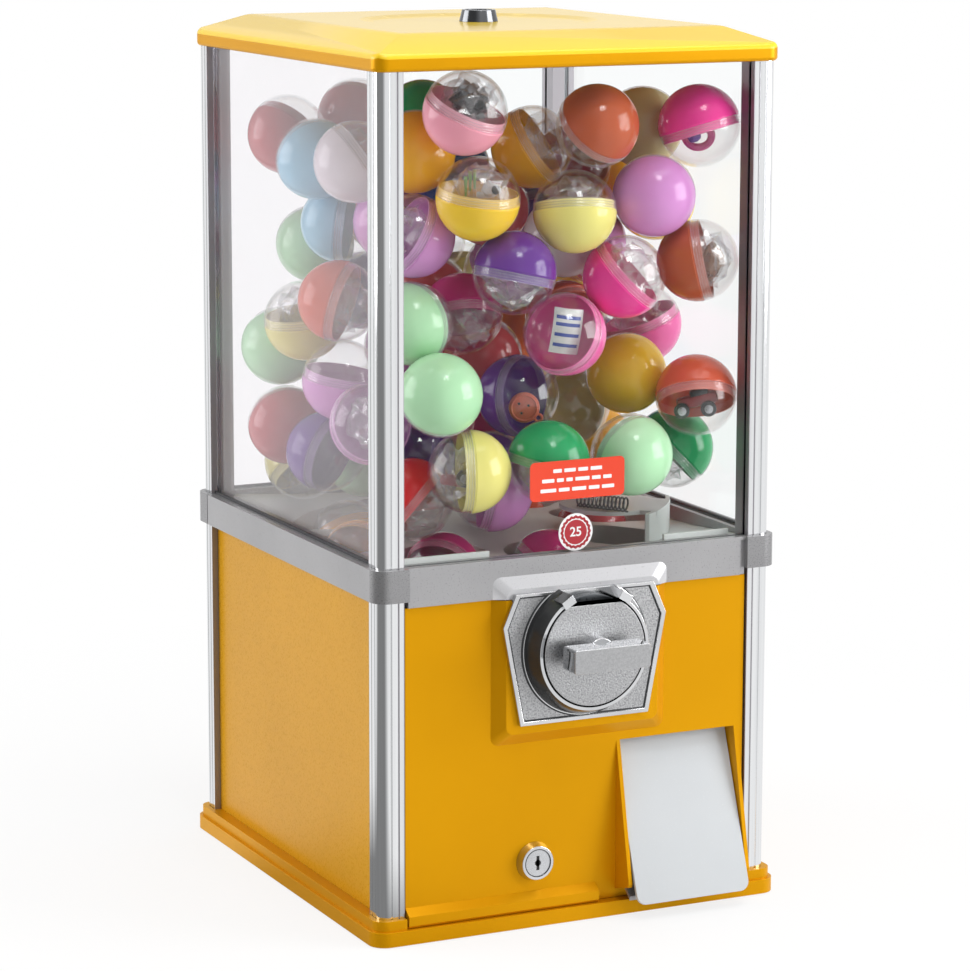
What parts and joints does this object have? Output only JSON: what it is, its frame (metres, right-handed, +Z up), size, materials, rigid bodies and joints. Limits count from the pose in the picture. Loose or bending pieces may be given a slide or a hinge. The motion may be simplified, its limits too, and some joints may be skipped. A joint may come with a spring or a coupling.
{
  "type": "capsule vending machine",
  "caption": "Counter-top capsule and gumball vending machine with a glazed store, turning wheel, coin knob, chute flap and lockable lid.",
  "frame": {"origin": "centre of the underside of the base, on the table", "axes": "+X right, +Y back, +Z up; the coin knob and flap face -Y"},
  "size_m": [0.26, 0.316, 0.5152],
  "materials": {
    "yellow_paint": "semi-gloss powder coat",
    "polished_post": "bright anodised, fluted",
    "grey_moulding": "satin moulded",
    "clear_window": "clear acrylic",
    "dark_strip": "matte",
    "zinc_steel": "zinc plated",
    "hopper_white": "translucent white",
    "wheel_plastic": "natural moulded",
    "gear_plastic": "dark moulded",
    "bush_brass": "plain",
    "capsule_plastic": "glossy, mixed colours, half clear",
    "label_red": "printed film",
    "label_white": "printed film",
    "die_cast": "die-cast, textured faces and bright edges",
    "dark_cast": "dark die-cast",
    "lock_chrome": "bright plated",
    "flap_plastic": "smooth pale grey",
    "spring_steel": "plain wire"
  },
  "bodies": {
    "root": {"base_plinth": "yellow_paint", "post_front_left": "polished_post", "post_front_right": "polished_post", "post_back_left": "polished_post", "post_back_right": "polished_post", "mid_frame": "grey_moulding", "side_panel_left": "yellow_paint", "side_panel_right": "yellow_paint", "rear_panel": "yellow_paint", "window_front": "clear_window", "window_back": "clear_window", "window_left": "clear_window", "window_right": "clear_window", "glazing_strips": "dark_strip", "top_frame": "zinc_steel", "post_screws": "zinc_steel", "hopper": "hopper_white", "hopper_screws": "zinc_steel", "exit_cover": "hopper_white", "wiper_spring": "spring_steel", "wheel_bracket": "zinc_steel", "wheel_axle": "zinc_steel", "axle_nut": "zinc_steel", "capsules": "capsule_plastic", "price_label": "label_red", "round_badge": "label_white", "coin_tray": "zinc_steel", "lock_keeper": "zinc_steel"},
    "wheel": {"dispensing_wheel": "wheel_plastic", "drive_ring": "gear_plastic", "wheel_bush": "bush_brass", "pocket_capsules": "capsule_plastic"},
    "door": {"front_door": "yellow_paint", "mech_plate": "die_cast", "coin_bezel": "die_cast", "mech_housing": "dark_cast", "mech_screws": "zinc_steel", "coin_guide": "zinc_steel", "chute": "grey_moulding", "flap_pin": "zinc_steel", "pawl_pin": "zinc_steel", "pawl_spring": "spring_steel", "door_lock_body": "lock_chrome", "door_lock_nut": "zinc_steel"},
    "door_key": {"door_lock_plug": "lock_chrome", "door_lock_cam": "zinc_steel"},
    "flap": {"chute_flap": "flap_plastic"},
    "pawl": {"ratchet_pawl": "zinc_steel"},
    "knob": {"knob_shaft": "zinc_steel", "drive_pinion": "gear_plastic", "ratchet_wheel": "zinc_steel", "coin_carrier": "dark_cast", "coin_disc": "die_cast", "turn_handle": "die_cast"},
    "lid": {"lid": "yellow_paint", "lid_lock_body": "lock_chrome", "lid_lock_nut": "zinc_steel"},
    "lid_key": {"lid_lock_plug": "lock_chrome", "lid_lock_cam": "zinc_steel"}
  },
  "joints": [
    {"name": "wheel_turn", "type": "hinge", "parent": "root", "child": "wheel", "pos_m": [0, 0, 0.19], "axis": [0, 0, 1], "continuous": true},
    {"name": "knob_turn", "type": "hinge", "parent": "door", "child": "knob", "pos_m": [0, -0.142, 0.162], "axis": [0, 1, 0], "continuous": true},
    {"name": "door_pull", "type": "slide", "parent": "root", "child": "door", "axis": [0, -1, 0], "range_m": [0, 0.15]},
    {"name": "door_key_turn", "type": "hinge", "parent": "door", "child": "door_key", "pos_m": [-0.0275, -0.12, 0.037], "axis": [0, -1, 0], "range_deg": [0, 90]},
    {"name": "flap_swing", "type": "hinge", "parent": "door", "child": "flap", "pos_m": [0.065, -0.1209, 0.0986], "axis": [-1, 0, 0], "range_deg": [0, 60]},
    {"name": "pawl_lift", "type": "hinge", "parent": "door", "child": "pawl", "pos_m": [-0.0173, -0.1275, 0.1712], "axis": [0, -1, 0], "range_deg": [-9.5, 2], "stiffness_Nm_per_rad": 0.02, "springref_deg": -14.32},
    {"name": "lid_lift", "type": "slide", "parent": "root", "child": "lid", "axis": [0, 0, 1], "range_m": [0, 0.09]},
    {"name": "lid_key_turn", "type": "hinge", "parent": "lid", "child": "lid_key", "pos_m": [0, 0, 0.5], "axis": [0, 0, 1], "range_deg": [0, 90]}
  ],
  "couplings": [
    {"joint": "knob_turn", "follows": "wheel_turn", "ratio": 8}
  ]
}
